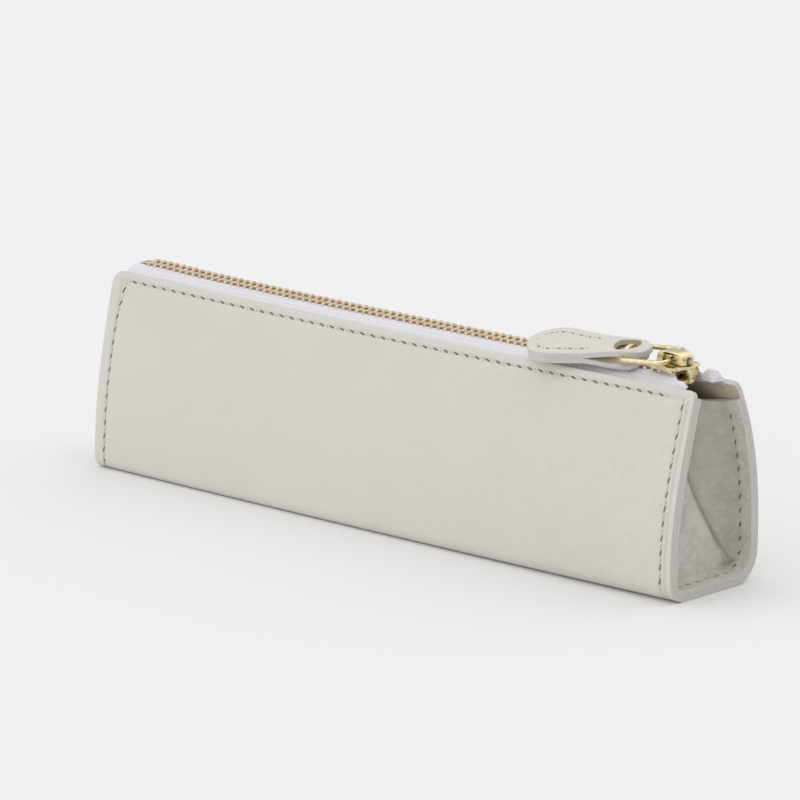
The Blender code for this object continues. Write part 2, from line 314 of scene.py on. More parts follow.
class Shader(Nodes):
    def __init__(self, name, roughness, metallic=0.0, **constants):
        self.material = bpy.data.materials.new(name)
        self.material.use_nodes = True
        super().__init__(self.material.node_tree, "Object")
        self.surface = self.tree.nodes["Principled BSDF"]
        self.surface.inputs["Roughness"].default_value = roughness
        self.surface.inputs["Metallic"].default_value = metallic
        for key, value in constants.items():
            self.surface.inputs[key.replace("_", " ")].default_value = value

    def pattern(self, kind, size, vector, settings, sockets, out):
        sockets = {"Vector": vector or self.place, "Scale": 1 / size, **sockets}
        return self.node(kind, settings, sockets, out)

    def noise(self, size, detail=2.0, vector=None, out=0):
        return self.pattern("TexNoise", size, vector, {}, {"Detail": detail}, out)

    def cells(self, size, vector):
        return self.pattern("TexVoronoi", size, vector, {"feature": "DISTANCE_TO_EDGE"}, {}, 0)

    def bands(self, direction, size, distortion):
        settings = {"wave_type": "BANDS", "bands_direction": direction}
        return self.pattern("TexWave", size, None, settings, {"Distortion": distortion, "Detail": 1.0}, 1)

    def warped(self, size, amount, vector=None):
        # Places pushed about by noise, so that a pattern isn't even
        push = self.vector("SUBTRACT", self.noise(size, 1.0, out=1), (0.5, 0.5, 0.5))
        moved = self.vector("MULTIPLY", push, (amount, amount, amount))
        return self.vector("ADD", vector or self.place, moved)

    def mix(self, factor, first, second):
        mixed = self.tree.nodes.new("ShaderNodeMix")
        mixed.data_type = "RGBA"
        sockets = [s for s in mixed.inputs if s.enabled]
        for socket, value in zip(sockets, (factor, first, second)):
            self.feed(socket, value if isinstance(value, (Wire, float)) else (*value, 1))
        return Wire(self, next(s for s in mixed.outputs if s.enabled))

    def axis(self, name):
        return self.node("SeparateXYZ", {}, {0: self.place}, out=name)

    def finish(self, colour, roughness, height, depth, strength=0.8):
        # What changes over the surface: its colour, its roughness and its relief
        sockets = {"Height": height, "Distance": depth, "Strength": strength}
        bump = self.node("Bump", {}, sockets, out="Normal")
        for name, value in (("Base Color", colour), ("Roughness", roughness), ("Normal", bump)):
            self.feed(self.surface.inputs[name], value)
        return self.material


def srgb(red, green, blue):
    # A colour picked on a screen, as the shader's linear value
    values = [v / 255 for v in (red, green, blue)]
    return tuple(v / 12.92 if v <= 0.04045 else ((v + 0.055) / 1.055) ** 2.4 for v in values)


leatherTones = inMm(
    pebble=2.5, smallPebble=1.15, ripple=9, patch=4.5, blotch=24, wrinkle=3.5, wrinkleDepth=1.3,
    grainDepth=0.18, grainStart=-50, grainEnd=88,
)
leatherTones.update(
    face=srgb(218, 215, 208),
    # The tone of the painted shade in the grain's creases, also the darker fibres of the cut edge
    crease=srgb(168, 163, 150),
    # The tone of the painted shade in folds and seams
    foldDark=srgb(140, 132, 114),
    edge=srgb(214, 212, 209),
    flesh=srgb(206, 195, 174),
    fleshDark=srgb(180, 167, 144),
    drawnTurn=-35,
    drawnStretch=(1, 0.6, 1),
    creaseWidth=0.38,
    fineWidth=0.35,
    fineShare=0.25,
    # How strongly the painted shade in folds and seams darkens the leather
    foldStrength=0.8,
)


def leatherLook(name, leastGrain, grainShadeStrength, relief=1.0, folds=False):
    # Pebbled grain with painted shade in its creases, faint where the hide is stretched flat and full
    # towards the closed end
    tones = leatherTones
    look = Shader(name, 0.5, Specular_IOR_Level=0.3)
    turn = (math.radians(tones["drawnTurn"]), 0, 0)
    sockets = {"Vector": look.place, "Rotation": turn, "Scale": tones["drawnStretch"]}
    drawn = look.node("Mapping", {}, sockets)
    wrinkled = look.warped(tones["wrinkle"], tones["wrinkleDepth"], drawn)
    large = look.cells(tones["pebble"], wrinkled)
    small = look.cells(tones["smallPebble"], wrinkled)
    ripple = look.noise(tones["ripple"])
    patchy = look.noise(tones["patch"]).between(0.35, 0.65)
    full = look.axis("X").between(tones["grainStart"], tones["grainEnd"])
    amount = full * (1 - leastGrain) + leastGrain
    # Painted shade in the grain: a crease is darkest in its line and fades up the pebbles on both sides
    creases = (1 - large.between(0.0, tones["creaseWidth"])) * (0.25 + 0.75 * patchy)
    fine = 1 - small.between(0.0, tones["fineWidth"])
    sunk = (creases + fine * tones["fineShare"]) * amount
    blotch = look.noise(tones["blotch"], 3.0).between(0.35, 0.75)
    tone = look.mix(sunk * grainShadeStrength + blotch * 0.05, tones["face"], tones["crease"])
    if folds:
        # Painted shade along folds and seams, from the sheet's fold attribute
        fold = look.node("Attribute", {"attribute_name": "fold"}, out="Fac")
        tone = look.mix(fold * tones["foldStrength"], tone, tones["foldDark"])
    roughness = 0.46 + 0.1 * sunk + 0.05 * blotch
    return look.finish(tone, roughness, ripple * 0.5 - sunk, tones["grainDepth"] * relief)


def edgeLook():
    # Cut and burnished edge: a little fibrous, slightly cooler than the face
    look = Shader("cutEdge", 0.62, Specular_IOR_Level=0.25)
    fibres = look.noise(0.25 * mm, 4.0, look.warped(1.2 * mm, 0.8 * mm))
    tone = look.mix(fibres.between(0.3, 0.75) * 0.5, leatherTones["edge"], leatherTones["crease"])
    return look.finish(tone, 0.55 + 0.15 * fibres, fibres, 0.05 * mm)


def fleshLook():
    look = Shader("fleshSide", 0.9, Specular_IOR_Level=0.15, Sheen_Weight=0.2)
    nap = look.noise(0.35 * mm, 5.0)
    patches = look.noise(7 * mm, 3.0)
    tint = nap.between(0.3, 0.7) * 0.5 + patches.between(0.3, 0.7) * 0.4
    tone = look.mix(tint, leatherTones["flesh"], leatherTones["fleshDark"])
    return look.finish(tone, 0.85 + 0.1 * nap, nap, 0.08 * mm)


def tapeLook():
    # Woven tape: fine ribs along its length, crossed by a looser weft
    look = Shader("tapeWeave", 0.8, Specular_IOR_Level=0.2, Sheen_Weight=0.35)
    weave = look.bands("X", 3.2 * mm, 0.6) * look.bands("Z", 2.2 * mm, 0.4)
    fuzz = look.noise(0.3 * mm, 3.0)
    tone = look.mix(weave * 0.25 + fuzz * 0.15, srgb(230, 229, 234), srgb(204, 203, 211))
    return look.finish(tone, 0.75 + 0.15 * fuzz, weave + fuzz * 0.3, 0.12 * mm)


def threadLook(name, light, dark):
    # Twisted thread: slanting plies
    look = Shader(name, 0.7, Specular_IOR_Level=0.3, Sheen_Weight=0.2)
    plies = look.noise(0.22 * mm, 3.0, look.warped(0.8 * mm, 0.6 * mm))
    tone = look.mix(plies.between(0.3, 0.7), light, dark)
    return look.finish(tone, 0.62 + 0.2 * plies, plies, 0.06 * mm, 0.9)


def metalLook(name, light, dark, roughness, grain):
    # Plated metal with faint wear: duller, darker patches over a bright ground
    look = Shader(name, roughness, 1.0)
    worn = look.noise(1.6 * mm, 4.0).between(0.35, 0.75)
    brushed = look.noise(0.18 * mm)
    tone = look.mix(worn * 0.6, light, dark)
    return look.finish(tone, roughness + 0.12 * worn + 0.05 * brushed, brushed, grain, 0.5)


panelLeather = leatherLook("pebbledLeather", 0.04, 0.06, 0.5, folds=True)
gussetLeather = leatherLook("creasedLeather", 0.9, 0.27, 1.3, folds=True)
tabLeather = leatherLook("smoothLeather", 0.05, 0.06)
cutEdge = edgeLook()
fleshSide = fleshLook()
tapeWeave = tapeLook()
linenThread = threadLook("linenThread", srgb(216, 212, 203), srgb(199, 194, 183))
# The needle holes' dark tone is painted shade in the holes
paintedHoleShade = threadLook("needleHole", srgb(134, 128, 115), srgb(104, 98, 86))
toothBrass = metalLook("toothBrass", srgb(226, 208, 184), srgb(184, 164, 136), 0.3, 0.02 * mm)
chainBed = metalLook("chainBed", srgb(150, 132, 102), srgb(112, 98, 74), 0.5, 0.02 * mm)
platedGold = metalLook("platedGold", srgb(236, 222, 180), srgb(200, 176, 122), 0.16, 0.01 * mm)
springSteel = metalLook("springSteel", srgb(196, 196, 192), srgb(140, 140, 138), 0.35, 0.02 * mm)
print("materials ready")


# The case's own section, which everything sewn to it follows

wrap = inMm(
    # Each triple holds at the open end, the middle and the closed end
    frontFoot=(16.0, 16.6, 16.9),
    backFoot=(15.1, 15.3, 16.2),
    frontLip=(7.9, 7.3, 8.2),
    backLip=(7.7, 7.1, 7.9),
    frontLowBelly=(2.4, 2.2, 3.6),
    frontHighBelly=(1.6, 2.4, 1.4),
    backLowBelly=(2.6, 3.0, 3.4),
    backHighBelly=(2.0, 3.2, 4.6),
    frontFold=(2.9, 2.9, 5.4),
    backFold=(3.6, 4.0, 8.4),
    lipRise=(1.3, 0.0, 0.8),
    cornerRadius=(3.6, 3.0, 2.0),
    leather=1.4, edgeRound=0.3, ripple=0.30, rippleLength=34, rippleRise=(1, 14),
    lipSeam=2.2, lipRoll=0.25, endSeam=3.4, endCrease=1.9, endFade=(2, 5),
    seamDepth=0.22, seamWidth=0.75, shadeWidth=0.4, lipShadeWidth=0.5,
)
# Shares of the section's length and of the seams' dip, and how dark the painted shade along the seams and
# the crease is
wrap.update(baseShare=0.17, foldShare=0.27, baseSeam=0.25, creaseDepth=0.8, creaseNarrow=1.6,
            endShade=0.34, creaseShade=0.30, lipShade=0.2)


def along(x, values):
    # A smooth change through the open end, the middle and the closed end
    left, middle, right = values
    t = x / halfLength
    return middle + t * (right - left) / 2 + t * t * ((right + left) / 2 - middle)


def lipTop(x):
    return lipHeight + along(x, wrap["lipRise"])


def cornerDrop(x):
    # How much the round corners of the lips take off their height
    inside = halfLength - abs(x)
    radius = along(x, wrap["cornerRadius"])
    if inside >= radius:
        return 0.0
    return radius - leg(radius, radius - inside)


def halfSection(x, share, side):
    # From the middle of the base (0) round the fold and up to the lip (1)
    name = "front" if side < 0 else "back"
    foot = along(x, wrap[name + "Foot"])
    fold = along(x, wrap[name + "Fold"])
    if share <= wrap["baseShare"]:
        return Vector((share / wrap["baseShare"] * (foot - fold), 0))
    if share <= wrap["foldShare"]:
        angle = math.pi / 2 * (share - wrap["baseShare"]) / (wrap["foldShare"] - wrap["baseShare"])
        return Vector((foot - fold + fold * math.sin(angle), fold - fold * math.cos(angle)))
    t = (share - wrap["foldShare"]) / (1 - wrap["foldShare"])
    start = Vector((foot, fold))
    end = Vector((along(x, wrap[name + "Lip"]), lipTop(x)))
    low = start.lerp(end, 1 / 3) + Vector((along(x, wrap[name + "LowBelly"]), 0))
    high = start.lerp(end, 2 / 3) + Vector((along(x, wrap[name + "HighBelly"]), 0))
    return start * (1 - t) ** 3 + low * 3 * t * (1 - t) ** 2 + high * 3 * t * t * (1 - t) + end * t ** 3


def seamDip(distance):
    return -wrap["seamDepth"] * bell(distance, wrap["seamWidth"])


def swell(x, share, side, point):
    # Soft unevenness of the hide, and the dips that the seams pull into it
    above = smooth(point.y, *wrap["rippleRise"])
    where = Vector((x, side * 0.05 + point.y * 0.8, 0.31)) / wrap["rippleLength"]
    total = above * wrap["ripple"] * noise.noise(where)
    inside = halfLength - abs(x)
    if share > wrap["foldShare"]:
        belowLip = lipTop(x) - point.y
        total += seamDip(belowLip - wrap["lipSeam"]) * smooth(inside, *wrap["endFade"])
        total -= wrap["lipRoll"] * clamp(1 - belowLip / wrap["lipSeam"]) ** 2
    total += seamDip(inside - wrap["endSeam"]) * (wrap["baseSeam"] + (1 - wrap["baseSeam"]) * above)
    crease = seamDip((halfLength - x - wrap["endCrease"]) * wrap["creaseNarrow"])
    return total + wrap["creaseDepth"] * crease * above


def onCase(x, s, inset=0.0):
    # A place on the case and the way out of it
    # s is -1 at the front lip, 0 in the middle of the base and 1 at the back lip
    side = -1 if s < 0 else 1
    share = abs(s)
    near = 0.004
    here = halfSection(x, share, side)
    step = halfSection(x, min(share + near, 1), side) - halfSection(x, max(share - near, 0), side)
    step.normalize()
    out = Vector((step.y, -step.x))
    point = here + out * (swell(x, share, side, here) - inset)
    return Vector((x, side * point.x, point.y)), Vector((0, side * out.x, out.y))


def shareAt(x, side, height):
    # Where on the side of the section a height lies, found by halving
    low, high = wrap["foldShare"], 1.0
    for _ in range(24):
        middle = (low + high) / 2
        if halfSection(x, middle, side).y < height:
            low = middle
        else:
            high = middle
    return high


def onSide(x, side, height, inset=0.0):
    return onCase(x, side * shareAt(x, side, height), inset)


def buildWrap():
    def shape(u, v):
        x = halfLength * (2 * crowd(u, 0.035, 0.08) - 1)
        s = 1 - 2 * crowd(v, 0.045, 0.11)
        drop = cornerDrop(x)
        if drop and abs(s) > wrap["foldShare"]:
            side = -1 if s < 0 else 1
            start = wrap["foldShare"]
            cap = shareAt(x, side, lipTop(x) - drop)
            s = side * (start + (abs(s) - start) * (cap - start) / (1 - start))
        return onCase(x, s)[0]

    def paint(point):
        # Painted shade: soft dark lines along the seams, and along the crease beside the closed end's seam
        inside = halfLength - abs(point.x)
        below = lipTop(point.x) - point.z
        ends = wrap["endShade"] * bell(inside - wrap["endSeam"], wrap["shadeWidth"])
        if point.x > 0:
            ends += wrap["creaseShade"] * bell(inside - wrap["endCrease"], wrap["shadeWidth"])
        lips = wrap["lipShade"] * bell(below - wrap["lipSeam"], wrap["lipShadeWidth"])
        return ends * smooth(below, 1.5 * mm, 4 * mm) + lips * smooth(inside, *wrap["endFade"])

    body = addSheet("caseWrap", 240, 128, shape, (panelLeather, fleshSide, cutEdge))
    paintShade(body, paint)
    thicken(body, wrap["leather"], 1, 2)
    softenEdges(body, wrap["edgeRound"], slot=2)
    finishPiece(body, "case", "ivory_leather", "body_wrap")


buildWrap()
print("leather wrap sewn")


# End gussets: a flange sewn inside the wrap, and a face that folds in along a Y of creases

gusset = inMm(
    thickness=1.3, edgeRound=0.25, flange=5.5, bend=1.8, top=46.5, inset=2.70,
    rimTop={-1: 50.2, 1: 47.8},
    foldFoot=3.2, foldTop=36, foldSpread=13.3, foldFade=(3, 9), spineLow=10,
    pleatDepth=7.5, creaseDepth=1.2, creaseWidth=0.9,
    shoulderRise=0.5, shoulderAway=2.2, shoulderWidth=1.3, ripple=0.45, rippleLength=11,
    puckerDepth=1.7, puckerSize=2.6, puckerPlace=(11.5, 5.5),
    # Heights at which the width between the wrap's sides is measured
    seatStart=4, seatStep=2,
    # Width of the painted shade along the lower folds, and the place and size of the painted shade in the
    # bunched corners
    lineWidth=0.5, bunchPlace=(11.2, 4.4), bunchSize=(2.4, 0.8),
)
# The number of those heights, shares, and how dark the painted shade in the folds is
gusset.update(seatCount=23, foldCurve=1.6, foldSlant=0.85, flangePart=0.26, bendPart=0.40,
              lineShade=0.75, bunchShade=0.9, facetShade=0.3)


def foldSide(height):
    # How far from the middle the lower folds lie: they start in the corners and meet under the pleat
    share = clamp((gusset["foldTop"] - height) / (gusset["foldTop"] - gusset["foldFoot"]), 0, 1.1)
    return gusset["foldSpread"] * share ** gusset["foldCurve"]


def gussetShape(end):
    g = gusset
    seatX = end * (halfLength - g["flange"])
    tops = {side: shareAt(seatX, side, g["top"]) for side in (-1, 1)}
    rimTops = {side: shareAt(end * halfLength, side, g["rimTop"][side * end]) for side in (-1, 1)}

    def seatHalf(side, height):
        return abs(onSide(seatX, side, height, g["inset"])[0].y)

    heights = [g["seatStart"] + i * g["seatStep"] for i in range(g["seatCount"])]
    seats = {side: [seatHalf(side, height) for height in heights] for side in (-1, 1)}

    def depthAt(y, z):
        side = -1 if y < 0 else 1
        deepest = g["pleatDepth"] * clamp((z - g["foldFoot"]) / (g["top"] - g["foldFoot"]))
        fold = foldSide(z)
        if abs(y) <= fold:
            return deepest
        spot = clamp((z - g["seatStart"]) / g["seatStep"], 0, g["seatCount"] - 1.01)
        low, high = seats[side][int(spot)], seats[side][int(spot) + 1]
        seat = low + (high - low) * (spot - int(spot))
        return deepest * clamp((seat - abs(y)) / max(seat - fold, 0.5 * mm))

    def pucker(point):
        # The leather bunches in waves where the lower folds run into the corners
        total = 0.0
        for side in (-1, 1):
            corner = Vector((seatX, side * g["puckerPlace"][0], g["puckerPlace"][1]))
            far = (point - corner).length / g["puckerSize"]
            total += bell(far, 1) * math.sin(2.6 * far - 0.9)
        return total * g["puckerDepth"]

    def shape(u, v):
        around = 2 * u - 1
        side = -1 if around < 0 else 1
        s = around * tops[side]
        rise = clamp((abs(s) - wrap["foldShare"]) / (tops[side] - wrap["foldShare"]))
        rim = onCase(end * halfLength, around * rimTops[side], g["inset"])[0]
        seat = onCase(seatX, s, g["inset"])[0]
        spine = Vector((seatX, 0, g["spineLow"] + (g["top"] - g["spineLow"]) * rise))
        start = min(g["bend"] / (spine - seat).length, 1)

        def inside(t):
            point = seat.lerp(spine, t)
            point.x -= end * depthAt(point.y, point.z)
            return point

        before = seat + (rim - seat).normalized() * g["bend"]
        after = inside(start)
        if v < g["flangePart"]:
            return rim.lerp(before, v / g["flangePart"])
        if v < g["bendPart"]:
            t = (v - g["flangePart"]) / (g["bendPart"] - g["flangePart"])
            return before.lerp(seat, t).lerp(seat.lerp(after, t), t)
        t = (v - g["bendPart"]) / (1 - g["bendPart"])
        point = inside(start + (1 - start) * t)
        wave = noise.noise(point / g["rippleLength"] + Vector((3.7, 1.3, 0.4)))
        fold = foldSide(point.z)
        away = (abs(point.y) - fold) * g["foldSlant"]
        below = smooth(g["foldTop"] - point.z, *g["foldFade"])
        groove = -g["creaseDepth"] * math.exp(-abs(away) / g["creaseWidth"])
        shoulder = g["shoulderRise"] * bell(away + g["shoulderAway"], g["shoulderWidth"])
        shoulder *= smooth(fold, 2 * mm, 5 * mm)
        moved = g["ripple"] * wave + pucker(point) + below * (groove + shoulder)
        point.x += end * smooth(t, 0.0, 0.3) * moved
        return point

    def paint(point):
        # Painted shade, 1 where darkest: along the lower folds and in the bunched corners, and a little on
        # the faces that turn away from the light
        y, z = abs(point.y), point.z
        inner = smooth(end * (seatX - point.x), -2.2 * mm, -0.6 * mm)
        away = (y - foldSide(z)) * g["foldSlant"]
        line = g["lineShade"] * bell(away, g["lineWidth"]) * smooth(g["foldTop"] - z, 2 * mm, 12 * mm)
        bunch = g["bunchShade"]
        for value, place, size in zip((y, z), g["bunchPlace"], g["bunchSize"]):
            bunch *= bell(value - place, size)
        facet = g["facetShade"] * smooth(away, 0, 1.2 * mm)
        return clamp(line + bunch + facet) * inner

    return shape, paint


def buildGusset(name, end, node):
    shape, paint = gussetShape(end)
    face = addSheet(name, 200, 72, shape, (gussetLeather, fleshSide, cutEdge))
    mergeDoubles(face)
    paintShade(face, paint)
    onFace = Vector((end * 90 * mm, 0, 15 * mm))
    middle = min(face.data.polygons, key=lambda polygon: (polygon.center - onFace).length)
    if middle.normal.x * end < 0:
        flipFaces(face)
    thicken(face, gusset["thickness"], 1, 2, even=False)
    softenEdges(face, gusset["edgeRound"], angle=65, slot=2)
    finishPiece(face, "case", "ivory_leather", node, angle=60)


buildGusset("rightGusset", 1, "right_gusset")
buildGusset("leftGusset", -1, "left_gusset")
print("gussets folded")


# Stitches: one raised stitch and its needle hole, copied along each seam

stitch = inMm(
    pitch=3.56, start=1.0, holeDepth=0.16,
    # Length and width of a stitch, and of a needle hole
    thread=(1.5, 0.5), hole=(2.05, 0.66),
    outerTop=50.2, innerTop=45, lipEnds=(-95.0, 92.5), openLean=1.5, baseSink=0.3,
)
# The stitches' slant in degrees, and the sizes of the row outside and the row inside on the gusset
stitch.update(slant=20, sizes=(1.0, 0.7))


def stitchModel(length, width):
    # A short thread that arches out of the leather, fuller in the middle
    model = addShape(bpy.ops.mesh.primitive_cylinder_add, vertices=7, radius=width / 2, depth=length,
                     rotation=(0, math.pi / 2, 0))
    settle(model)
    for cut in (-0.3, 0.0, 0.3):
        editWhole(model, (bpy.ops.mesh.bisect, {"plane_co": (cut * length, 0, 0), "plane_no": (1, 0, 0)}))
    for vertex in model.data.vertices:
        out = abs(vertex.co.x) / (length / 2)
        full = 1 - 0.55 * out ** 3
        vertex.co.y *= full
        vertex.co.z = vertex.co.z * full - 0.55 * width * out ** 2 + 0.12 * width
    wear(model, (linenThread,))
    return model


def holeModel(length, width):
    # A needle hole: a small dish drawn out along the seam, with blunt corners, dark with painted shade
    model = addShape(bpy.ops.mesh.primitive_uv_sphere_add, segments=8, ring_count=4, radius=0.5)
    for vertex in model.data.vertices:
        x, y, z = vertex.co
        blunt = 1 / max(abs(2 * x) ** 4 + abs(2 * y) ** 4, 0.2) ** 0.25 if z == 0 else 1
        vertex.co = (x * length * blunt, y * width * blunt, z * stitch["holeDepth"])
    wear(model, (paintedHoleShade,))
    return model


def walk(points, pitch, first):
    # Places every pitch along a path of (place, way out), with the way that the path runs
    found = []
    ahead = first
    for (a, outA), (b, outB) in zip(points, points[1:]):
        length = (b - a).length
        if length == 0:
            continue
        while ahead <= length:
            t = ahead / length
            found.append((a.lerp(b, t), (b - a).normalized(), outA.lerp(outB, t).normalized()))
            ahead += pitch
        ahead -= length
    return found


def sewSeam(name, body, node, paths, pitch, thread, hole, sizes=(1.0, 1.0)):
    # The stitches stand in for the node's thread, and their needle holes are a piece of their own
    threads = []
    holes = []
    lean = Matrix.Rotation(math.radians(-stitch["slant"]), 4, "Z")
    for path, size in zip(paths, sizes):
        slant = lean @ Matrix.Diagonal((size, size, size, 1))
        for made, first in ((threads, stitch["start"]), (holes, stitch["start"] + pitch / 2)):
            made += [placeMatrix(place, run, out) @ slant for place, run, out in walk(path, pitch, first)]
    finishPiece(layCopies(stitchModel(*thread), threads, name + "Stitches"), body, "linen_thread", node)
    finishPiece(layCopies(holeModel(*hole), holes, name + "Holes"), body, "linen_thread")


def lipPath(side):
    places = spaced(*stitch["lipEnds"], 160)
    return [onSide(x, side, lipTop(x) - wrap["lipSeam"]) for x in places]


def endPath(end, inset, top, facing):
    # At the open end the seam runs in under the lip's corner
    lean = stitch["openLean"] if end < 0 else 0
    x = end * (halfLength - wrap["endSeam"])
    path = []
    for s in spaced(-shareAt(x, -1, top), shareAt(x, 1, top), 150):
        height = onCase(x, s, inset)[0].z
        place, out = onCase(x - end * lean * smooth(height, 36 * mm, 51 * mm), s, inset)
        # Under the base the thread is pulled into the leather
        sunk = stitch["baseSink"] * smooth(-out.z * facing, 0.2, 0.7)
        path.append((place - out * facing * sunk, out * facing))
    return path


def endPaths(end):
    return [endPath(end, 0, stitch["outerTop"], 1), endPath(end, gusset["inset"], stitch["innerTop"], -1)]


seams = (("frontLip", "front_lip_seam", [lipPath(-1)]), ("backLip", "back_lip_seam", [lipPath(1)]),
         ("rightEnd", "right_end_seam", endPaths(1)), ("leftEnd", "left_end_seam", endPaths(-1)))
for name, node, paths in seams:
    sewSeam(name, "case", node, paths, stitch["pitch"], stitch["thread"], stitch["hole"], stitch["sizes"])
print("seams stitched")


# Zip: two tapes, two rows of teeth, the stops

teethLow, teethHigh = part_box("front_zip_teeth")
sliderLow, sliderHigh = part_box("slider_body")

chain = inMm(
    pitch=2.35, rowInner=1.2, rowOuter=2.2, legLength=1.12, toothRound=0.2, cordRadius=0.5, cordOut=0.2,
    # How far before the slider's nose the teeth and the cord stop
    rowEnd=3.4, cordEnd=5,
    rowSpread=2.1, endSpread=1.2, sag=1.0, sagEnd=88,
)
chain.update(
    middle=(teethLow.z + teethHigh.z) / 2,
    height=teethHigh.z - teethLow.z,
    start=teethLow.x,
    spreadStart=sliderHigh.x - 9 * mm,
    spreadFull=sliderHigh.x - 2.5 * mm,
    lean=0.3,
)
tape = inMm(
    hem=6.5, endHem=0.6, thickness=0.5, edgeRound=0.12, clear=0.1,
    lipGap=0.9, shoulderIn=0.7, edgeGap=0.15, edgeLift=0.2, rise=1.25,
    # Where the hem is cut short towards each end
    closedCut=(72, 84), openCut=(88, 97),
    openEnd=-97.5, closedEnd={-1: 95.4, 1: 96.8},
    foldStart=90.2, foldRun=2.4, foldRise=(4.4, 7.2), foldDrop=2.1, foldIn=0.6,
    closing=2.6, cutBack=1.6, cutRun=6,
)
tape["hemShare"] = 0.4


def spread(x):
    run = chain["spreadFull"] - chain["spreadStart"]
    opened = chain["rowSpread"] * clamp((x - chain["spreadStart"]) / run)
    closing = clamp((x - sliderHigh.x) / (halfLength - sliderHigh.x))
    return opened - (chain["rowSpread"] - chain["endSpread"]) * closing


def chainHeight(x):
    # The chain sags a little between the slider and the bottom stop
    return chain["middle"] - chain["sag"] * clamp(1 - abs(x / chain["sagEnd"]) ** 3)


def buildTape(name, side, node):
    end = tape["closedEnd"][side]

    def insideWrap(x, drop):
        # A place this far below the lip, just clear of the leather
        return onSide(x, side, lipTop(x) - drop, wrap["leather"] + tape["clear"])[0]

    def shape(u, v):
        x = tape["openEnd"] + (end - tape["openEnd"]) * crowd(u, 0.04, 0.14)
        # Each end is cut short below the lip and folded over, which lifts it
        ending = max(smooth(x, *tape["closedCut"]), smooth(-x, *tape["openCut"]))
        hemFoot = insideWrap(x, tape["hem"] + (tape["endHem"] - tape["hem"]) * ending)
        atLip = insideWrap(x, tape["lipGap"])
        # Past the slider the inner edge hangs down, and the end is folded down in a round
        folded = smooth(x, tape["foldStart"], tape["foldStart"] + tape["foldRun"])
        closed = 1 - leg(1, clamp(1 - (end - x) / tape["closing"]))
        edgeY = chain["rowOuter"] + spread(x) + tape["edgeGap"] - folded * tape["foldIn"]
        edge = Vector((x, side * edgeY, chainHeight(x) + tape["edgeLift"] - folded * tape["foldDrop"]))
        lift = tape["rise"] + folded * (tape["foldRise"][side > 0] - tape["rise"])
        shoulder = Vector((x, atLip.y - side * tape["shoulderIn"], atLip.z + lift))
        if v < tape["hemShare"]:
            return hemFoot.lerp(atLip, v / tape["hemShare"])
        t = (v - tape["hemShare"]) / (1 - tape["hemShare"])
        point = atLip.lerp(shoulder, t).lerp(shoulder.lerp(edge, t), t)
        point.z += (min(point.z, edge.z) - point.z) * closed
        point.x -= tape["cutBack"] * t * t * smooth(x, end - tape["cutRun"], end)
        return point

    strip = addSheet(name, 200, 20, shape, (tapeWeave,))
    middle = strip.data.polygons[len(strip.data.polygons) // 2]
    if middle.normal.y * side < 0:
        flipFaces(strip)
    thicken(strip, tape["thickness"], even=False)
    softenEdges(strip, tape["edgeRound"])
    finishPiece(strip, "case", "white_tape", node)


def toothModel():
    # Two legs clamped on the tape's edge, and a head that narrows into the other row
    tooth = addShape(bpy.ops.mesh.primitive_cube_add, size=1)
    depth = chain["rowOuter"] - chain["rowInner"] + 0.5 * mm
    for vertex in tooth.data.vertices:
        x, y, z = vertex.co
        vertex.co = (x * chain["legLength"], (y + 0.5) * depth + chain["rowInner"], z * chain["height"])
        vertex.select = y < 0
    for edge in tooth.data.edges:
        edge.select = all(tooth.data.vertices[i].select for i in edge.vertices)
    for polygon in tooth.data.polygons:
        polygon.select = polygon.normal.y < -0.9
    bpy.ops.object.mode_set(mode="EDIT")
    bpy.ops.mesh.select_mode(type="FACE")
    # The head in three steps: how far out, and how much narrower and flatter
    for travel, narrow, flat in ((0.3 * mm, 0.88, 0.62), (1.2 * mm, 1.0, 0.95), (0.4 * mm, 0.75, 0.75)):
        bpy.ops.mesh.extrude_region_move(TRANSFORM_OT_translate={"value": (0, -travel, 0)})
        bpy.ops.transform.resize(value=(narrow, 1, flat))
    bpy.ops.object.mode_set(mode="OBJECT")
    softenEdges(tooth, chain["toothRound"], angle=40)
    wear(tooth, (toothBrass,))
    return tooth


def buildTeeth(name, side, node):
    first = chain["start"] + (0.5 if side > 0 else 1.0) * chain["pitch"]
    count = int((sliderHigh.x - chain["rowEnd"] - first) / chain["pitch"]) + 1
    mirror = Matrix.Identity(4) if side > 0 else Matrix.Rotation(math.pi, 4, "Z")
    places = []
    for i in range(count):
        x = first + i * chain["pitch"]
        lean = -side * chain["lean"] if x > chain["spreadStart"] else 0.0
        place = Matrix.Translation((x, side * spread(x), chainHeight(x)))
        places.append(place @ Matrix.Rotation(lean, 4, "Z") @ mirror)
    row = layCopies(toothModel(), places, name)

    def shape(u, v):
        # The cord along the tape's edge, which shows between the legs
        x = chain["start"] + (sliderHigh.x - chain["cordEnd"] - chain["start"]) * u
        angle = 2 * math.pi * v
        radius = chain["cordRadius"]
        middle = (chain["rowInner"] + chain["rowOuter"]) / 2 + chain["cordOut"] + spread(x)
        y = middle + radius * math.cos(angle)
        return Vector((x, side * y, chainHeight(x) + radius * math.sin(angle)))

    cord = addSheet(name + "Cord", 80, 10, shape, (chainBed,))
    mergeDoubles(cord)
    finishPiece(joinAll(name, [row, cord]), "case", "brass", node)


# Clips: how far along and outward each lies from its solid, its half width and how low it sits
topStop = inMm(shift=-1.4, outward=0.7, half=0.6, lower=1.9)
bottomStop = inMm(shift=0.3, outward=0.0, half=1.7, lower=0.5)


